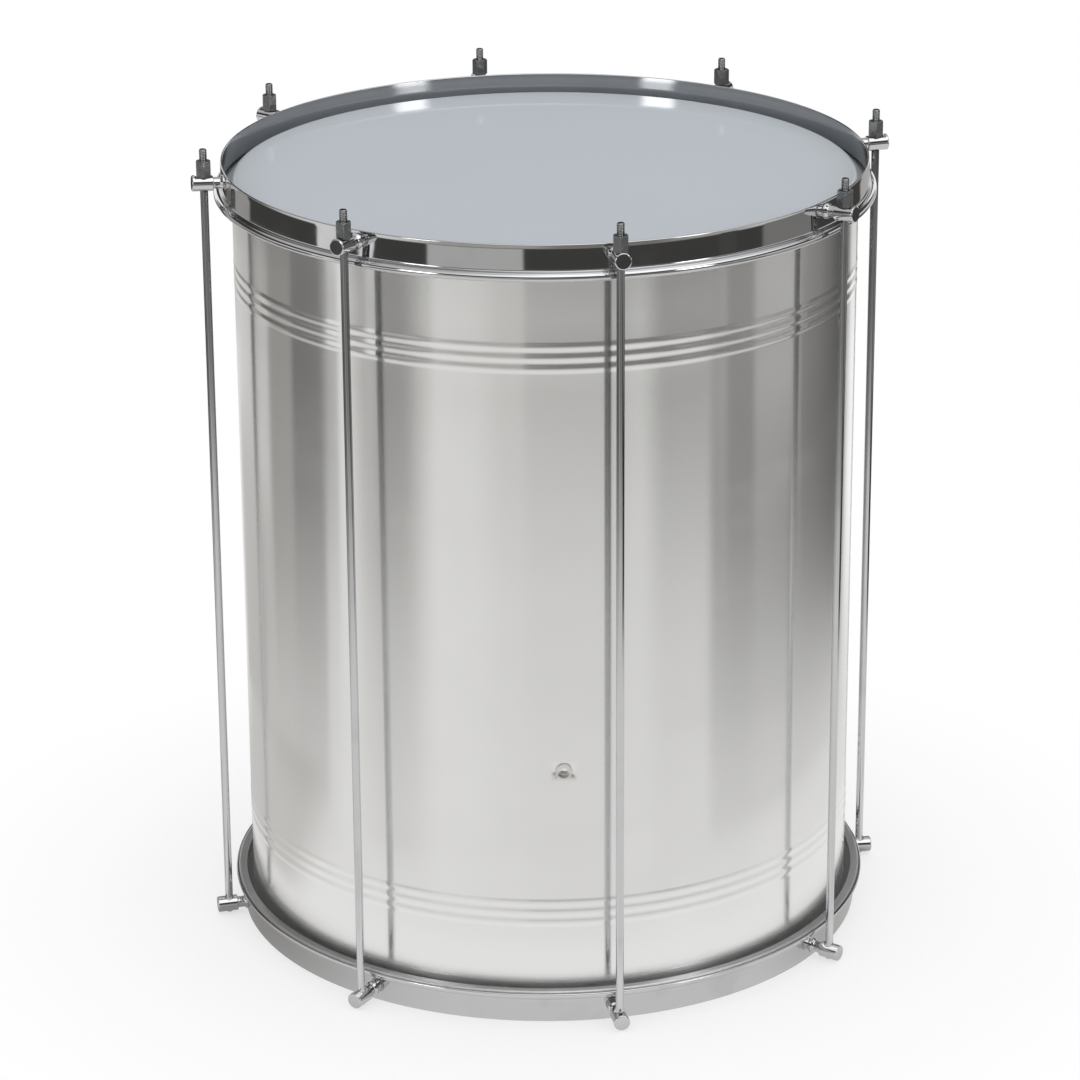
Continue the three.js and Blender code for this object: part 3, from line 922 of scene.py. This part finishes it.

# Boxes of light and dark in the surround, seen from the drum. Each row: what it is, its middle and half width
# in degrees round from the camera's side towards the right, its soft edge, its lowest and highest elevation
# with their soft edges, and its level. The rows from left_edge to right_edge are another program's results, a
# least squares fit to the shell's tones in the photograph, all but the level of dim_far_right. glow and the
# open level began in that fit too. The other rows were set one by one, and by comparing tones at chosen
# places.
CARDS = [
    ("sky", 0, 200, 1, 34, 8, 90, 1, 0.6),
    ("sky_light", 35, 25, 80, 34, 8, 90, 1, 1.5),
    ("dark_room", 0, 200, 1, -15, 1.5, 30, 8, 0.057),
    ("side_room", 0, 200, 1, -5, 3, 8, 3, 0.42),
    ("side_window_left", -75, 20, 22, -5, 3, 8, 3, 0.8),
    ("side_window_right", 110, 26, 26, -5, 3, 8, 3, 0.72),
    ("side_window_back", 178, 14, 16, -5, 3, 8, 3, 0.66),
    ("side_dark", 22, 14, 16, -5, 3, 8, 3, 0.22),
    ("glow", 0, 108, 30, -15.5, 0.6, -14, 1, 0.72),
    ("glow_left", -160, 18, 8, -15.5, 0.6, -14, 1, 0.62),
    ("glow_right", 164, 11, 6, -15.5, 0.6, -14, 1, 0.75),
    ("left_edge", -147, 13, 2, -22.8, 9.7, -18.3, 1.5, 0.51),
    ("left_gap", -130.5, 5, 4, -18.2, 8.7, -19.8, 1.5, 0.32),
    ("dim_left", -106, 16, 2, -19.9, 4.8, -14.1, 1.5, 0.31),
    ("dark_left", -93.5, 12, 1, -18, 1.5, -15.7, 1.5, 0.03),
    ("near_left", -58.5, 4.7, 14, -17.9, 4.7, -15, 1.5, 0.15),
    ("front", 4.5, 17.7, 14.5, -16, 3.1, -14, 1.5, 0.43),
    ("near_right", 50, 6, 12, -17.6, 1.7, -15, 1.5, 0.13),
    ("dark_right", 74.5, 5, 2.6, -15, 7, -15.3, 1.5, 0.25),
    ("dim_right", 99, 34.5, 5.6, -20.6, 1.7, -17.8, 1.5, 0.03),
    ("dim_far_right", 126, 19.5, 2, -19.4, 3.8, -15.5, 1.5, 0.1),
    ("right_edge", 164, 9, 8.5, -19.1, 3.3, -16.4, 1.5, 1),
    ("tall_box_left", -24, 16, 1, -13.5, 0.5, -8, 1, 0.5),
    ("thin_box_left", -80, 4.5, 0.8, -13.5, 0.5, -6, 1, 0.82),
    ("lug_box_left", -64, 2.5, 0.6, -13.5, 0.5, -6, 1, 0.82),
    ("far_box_left", -132, 6, 2, -13.5, 0.5, -6, 1, 0.36),
    ("dim_box_left", -146, 5, 2, -13.5, 0.5, -6, 1, 0.15),
    ("edge_box_left", -170, 5, 2, -13.5, 0.5, -6, 1, 0.3),
    ("small_box_right", 65, 3, 1, -13.5, 0.5, -6, 1, 0.07),
    ("low_box_right", 94, 13, 2, -13.5, 0.5, -6, 1, 0.22),
    ("edge_box_right", 161, 14, 3, -13.5, 0.5, -6, 1, 0.45),
    ("back_left", -178, 8, 6, -40, 1, -20.5, 1.5, 0.88),
    ("far_box_back_left", -157, 5, 3, -6, 1, 20, 3, 1.07),
    ("far_box_back_right", 162, 5, 3, -6, 1, 20, 3, 1.07),
    ("lamp_left", -43, 4, 4, 10, 2, 20, 2, 6),
    ("lamp_right", 51, 4, 4, 10, 2, 20, 2, 6),
]

# The same for the floor that the metal mirrors, with shares of its radius for the elevations. This floor only
# glows, and its darker rows are a painted shadow of the drum on it.
FLOOR_CARDS = [
    ("near", 0, 200, 1, 0, 0.1, 0.48, 0.03, 0.72),
    ("bright_ring", 0, 200, 1, 0.53, 0.04, 0.6, 0.1, 0.85),
    ("shade_left", -127.5, 52.5, 60, 0, 0.1, 0.46, 0.08, 0.32),
    ("shade_right", 122.5, 57.5, 25, 0, 0.1, 0.46, 0.04, 0.52),
    ("deep_shade_left", -138, 42, 10, 0, 0.1, 0.47, 0.04, 0.03),
    ("deep_shade_right", 142, 38, 8, 0, 0.1, 0.45, 0.03, 0.05),
    ("side_left", -106, 20, 20, 0.58, 0.05, 1, 0.1, 0.57),
]


def levels(cards, from_camera, coordinate):
    """Levels over a grid of places: the open level, with the cards laid over it, each over those before."""
    level = np.full(np.broadcast(from_camera, coordinate).shape, OPEN_LEVEL)
    for _, middle, half, edge, low, low_edge, high, high_edge, tone in cards:
        off = abs(np.mod(from_camera - middle + 180, 360) - 180)
        across = 1 if half >= 180 else soft_step((half + edge - off) / edge)
        along = soft_step((coordinate - low + low_edge) / low_edge)
        along = along * soft_step((high + high_edge - coordinate) / high_edge)
        level += (tone - level) * across * along
    return level


class DRUM_OT_stage(bpy.types.Operator):
    """White floor and backdrop, a surround for the metal to mirror, and the camera"""

    bl_idname = "drum.stage"
    bl_label = "Studio"

    def execute(self, context):
        studio = context.scene.drum_studio
        self.world(context)
        self.floor(studio)
        self.surround(studio)
        self.camera(context, studio)
        context.scene.view_settings.view_transform = "Standard"
        return {"FINISHED"}

    def world(self, context):
        """Even white light from all sides, at a strength of one."""
        world = bpy.data.worlds.new("white_studio")
        world.use_nodes = True
        background = world.node_tree.nodes["Background"]
        background.inputs["Color"].default_value = (1, 1, 1, 1)
        background.inputs["Strength"].default_value = 1.0
        world.cycles.sampling_method = "NONE"
        context.scene.world = world

    def floor(self, studio):
        """A round white floor, which the metal doesn't mirror."""
        rim = around(studio.floor_r, 0, full_turn(96))
        floor = linked("studio_floor", rim, [list(range(len(rim)))])
        floor.data.materials.append(floor_white(studio.floor_glow))
        floor.visible_glossy = False

    def mirrored(self, name, points, level):
        """A glowing sheet that only mirror rays see, brighter or darker by the level at each point. Between
        black and white its colour is a little warm."""
        hue = np.stack([level, level, level, np.ones_like(level)], axis=-1)
        more_red, less_blue = 0.03, 0.05
        warmth = level * np.clip(1 - level, 0, 1)
        hue[..., 0] += more_red * warmth
        hue[..., 2] -= less_blue * warmth
        mirror = linked(name, points, grid_faces(*level.shape, False).tolist())
        tones = mirror.data.attributes.new("tone", "FLOAT_COLOR", "POINT")
        tones.data.foreach_set("color", hue.reshape(-1).astype(np.float32))
        mirror.data.materials.append(glowing())
        for kind in ("camera", "diffuse", "transmission", "volume_scatter", "shadow"):
            setattr(mirror, f"visible_{kind}", False)

    def surround(self, studio):
        """A globe round the drum, seen only by mirror rays, that carries the boxes of light and dark."""
        side = math.atan2(studio.camera_at[1], studio.camera_at[0])
        azimuth = full_turn(720)
        elevation = np.radians(np.concatenate([
            np.arange(-90, -30, 6), np.arange(-30, 0, 0.5), np.arange(0, 50, 2), np.arange(50, 91, 8),
        ]))[:, None]
        from_camera = np.degrees(np.mod(azimuth - side + math.pi, 2 * math.pi) - math.pi)[None]
        centre = np.array([0, 0, 0.3])
        points = centre + studio.surround_r * around(np.cos(elevation), np.sin(elevation), azimuth[None])
        self.mirrored("studio_surround", points, levels(CARDS, from_camera, np.degrees(elevation)))

        # the floor that the metal mirrors: a glowing sheet whose darker places are a painted shadow of the
        # drum
        share = np.concatenate([[0], np.arange(0.42, 1.01, 0.02)])[:, None]
        points = around(share * studio.mirrored_r, 0, azimuth[None])
        self.mirrored("studio_mirrored_floor", points, levels(FLOOR_CARDS, from_camera, share))

    def camera(self, context, studio):
        """The camera looks at its aim, and leans by its roll about its own view line."""
        lens = bpy.data.cameras.new("studio_camera")
        lens.lens = studio.lens
        lens.sensor_width = 36
        lens.clip_end = 100
        camera = bpy.data.objects.new("studio_camera", lens)
        place = Vector(studio.camera_at)
        view = (Vector(studio.camera_aim) - place).to_track_quat("-Z", "Y").to_matrix().to_4x4()
        camera.matrix_world = Matrix.Translation(place) @ view @ Matrix.Rotation(studio.camera_roll, 4, "Z")
        context.scene.collection.objects.link(camera)
        context.scene.camera = camera


OPERATORS = (
    DRUM_OT_shell, DRUM_OT_vent_eyelet, DRUM_OT_hoops, DRUM_OT_flesh_hoops, DRUM_OT_heads,
    DRUM_OT_lugs, DRUM_OT_rods, DRUM_OT_nuts, DRUM_OT_stage,
)


class DRUM_PT_builder(bpy.types.Panel):
    """Lists the drum's pieces in the sidebar"""

    bl_idname = "DRUM_PT_builder"
    bl_label = "Tall Metal Drum"
    bl_space_type = "VIEW_3D"
    bl_region_type = "UI"
    bl_category = "Drum"

    def draw(self, context):
        for operator in OPERATORS:
            self.layout.operator(operator.bl_idname)


GROUPS = {"drum_sizes": DrumSizes, "drum_finishes": DrumFinishes, "drum_studio": StudioSettings}


def register():
    """Makes the settings, the operators and the panel known to Blender."""
    for name, group in GROUPS.items():
        bpy.utils.register_class(group)
        setattr(bpy.types.Scene, name, PointerProperty(type=group))
    for cls in (*OPERATORS, DRUM_PT_builder):
        bpy.utils.register_class(cls)


def unregister():
    """Takes the panel, the operators and the settings away again."""
    for cls in (DRUM_PT_builder, *reversed(OPERATORS)):
        bpy.utils.unregister_class(cls)
    for name, group in GROUPS.items():
        delattr(bpy.types.Scene, name)
        bpy.utils.unregister_class(group)


def main():
    """Builds every piece and the studio in order."""
    register()
    for operator in OPERATORS:
        group, name = operator.bl_idname.split(".")
        getattr(getattr(bpy.ops, group), name)()


if __name__ == "__main__":
    main()
